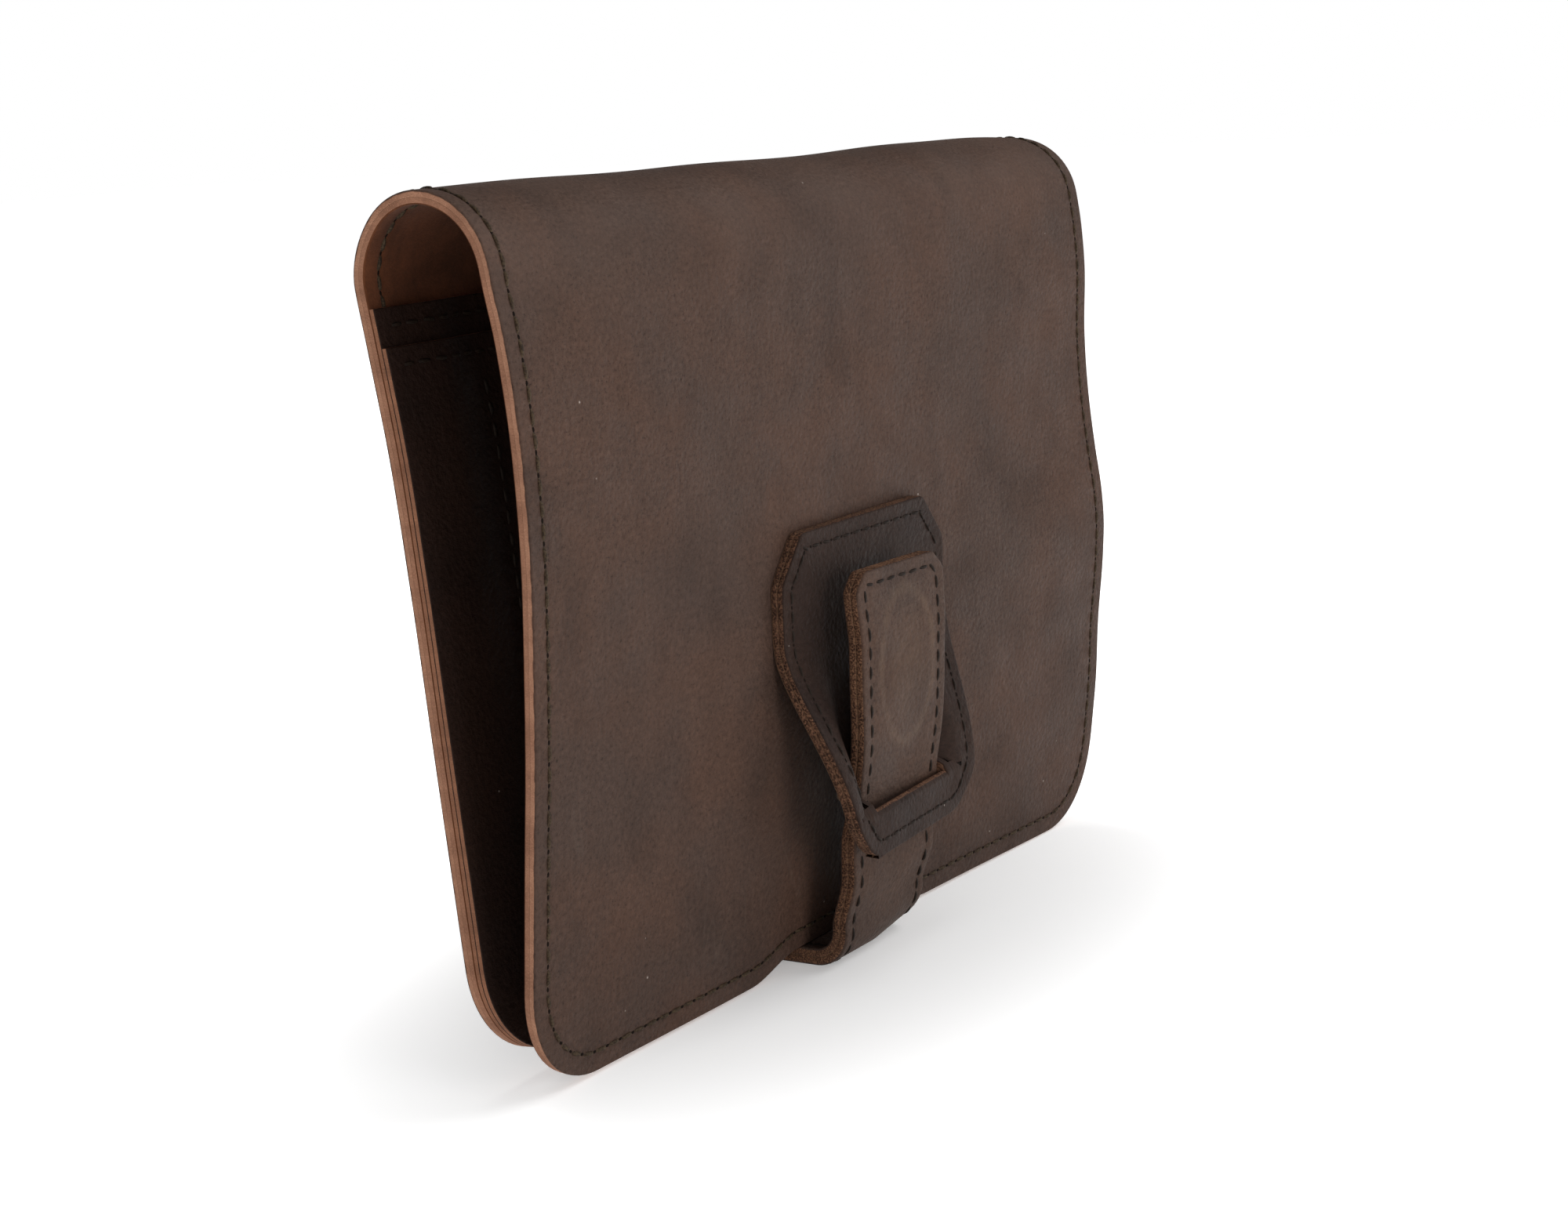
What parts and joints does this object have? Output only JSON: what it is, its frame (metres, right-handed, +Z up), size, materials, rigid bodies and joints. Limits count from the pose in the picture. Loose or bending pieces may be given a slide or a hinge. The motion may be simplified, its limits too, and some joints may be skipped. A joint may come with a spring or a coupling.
{
  "type": "brush roll case",
  "caption": "Lined leather brush case that folds over the top, with stepped inner brush pockets, closed by a stitched strap tucked through a keeper loop.",
  "frame": {"origin": "under the middle of the case, on the surface that it stands on", "axes": "+X along the width, to the right as one faces the flap; +Y towards the back panel; +Z up"},
  "size_m": [0.272, 0.058, 0.209],
  "materials": {
    "cover_leather": "matt waxed full-grain hide with pull-up mottling",
    "lining_suede": "napped flesh side, reddish tan",
    "pocket_leather": "matt dark brown hide",
    "keeper_backing_leather": "raw flesh side",
    "strap_leather": "matt waxed hide, rubbed on the tongue",
    "strap_backing_leather": "raw flesh side with fibrous cut edges",
    "thread": "waxed brown thread"
  },
  "bodies": {
    "back_panel": {"cover_back": "cover_leather", "lining_back": "lining_suede", "hem_thread_back": "thread", "pocket_tall": "pocket_leather", "pocket_short": "pocket_leather", "rim_thread_tall": "thread", "rim_thread_short": "thread", "divider_thread": "thread", "strap_outer_root": "strap_leather", "strap_inner_root": "strap_backing_leather", "strap_thread_root": "thread"},
    "fold_1": {"cover_fold_1": "cover_leather", "lining_fold_1": "lining_suede", "hem_thread_fold_1": "thread"},
    "fold_2": {"cover_fold_2": "cover_leather", "lining_fold_2": "lining_suede", "hem_thread_fold_2": "thread"},
    "fold_3": {"cover_fold_3": "cover_leather", "lining_fold_3": "lining_suede", "hem_thread_fold_3": "thread"},
    "flap": {"cover_flap": "cover_leather", "lining_flap": "lining_suede", "hem_thread_flap": "thread", "keeper_face": "cover_leather", "keeper_backing": "keeper_backing_leather", "keeper_thread": "thread"},
    "strap_bend": {"strap_outer_bend": "strap_leather", "strap_inner_bend": "strap_backing_leather", "strap_thread_bend": "thread"},
    "strap_tongue": {"strap_outer_tongue": "strap_leather", "strap_inner_tongue": "strap_backing_leather", "strap_thread_tongue": "thread"}
  },
  "joints": [
    {"name": "flap_fold", "type": "hinge", "parent": "back_panel", "child": "fold_1", "pos_m": [0, 0.02801, 0.19485], "axis": [-1, 0, 0], "range_deg": [0, 46.75]},
    {"name": "fold_follow_1", "type": "hinge", "parent": "fold_1", "child": "fold_2", "pos_m": [0, 0.01758, 0.20689], "axis": [-1, 0, 0], "range_deg": [0, 46.75]},
    {"name": "fold_follow_2", "type": "hinge", "parent": "fold_2", "child": "fold_3", "pos_m": [0, 0.00169, 0.20783], "axis": [-1, 0, 0], "range_deg": [0, 46.75]},
    {"name": "fold_follow_3", "type": "hinge", "parent": "fold_3", "child": "flap", "pos_m": [0, -0.01009, 0.19712], "axis": [-1, 0, 0], "range_deg": [0, 46.75]},
    {"name": "strap_open", "type": "hinge", "parent": "back_panel", "child": "strap_bend", "pos_m": [0, -0.01648, 0.00077], "axis": [1, 0, 0], "range_deg": [0, 42], "deforming": ["strap_outer_bend", "strap_inner_bend", "strap_thread_bend"]},
    {"name": "strap_follow", "type": "hinge", "parent": "strap_bend", "child": "strap_tongue", "pos_m": [0, -0.02195, 0.00624], "axis": [1, 0, 0], "range_deg": [0, 42], "deforming": ["strap_outer_tongue", "strap_inner_tongue", "strap_thread_tongue"]}
  ],
  "couplings": [
    {"joint": "fold_follow_1", "follows": "flap_fold", "ratio": 1},
    {"joint": "fold_follow_2", "follows": "flap_fold", "ratio": 1},
    {"joint": "fold_follow_3", "follows": "flap_fold", "ratio": 1},
    {"joint": "strap_follow", "follows": "strap_open", "ratio": 1}
  ]
}
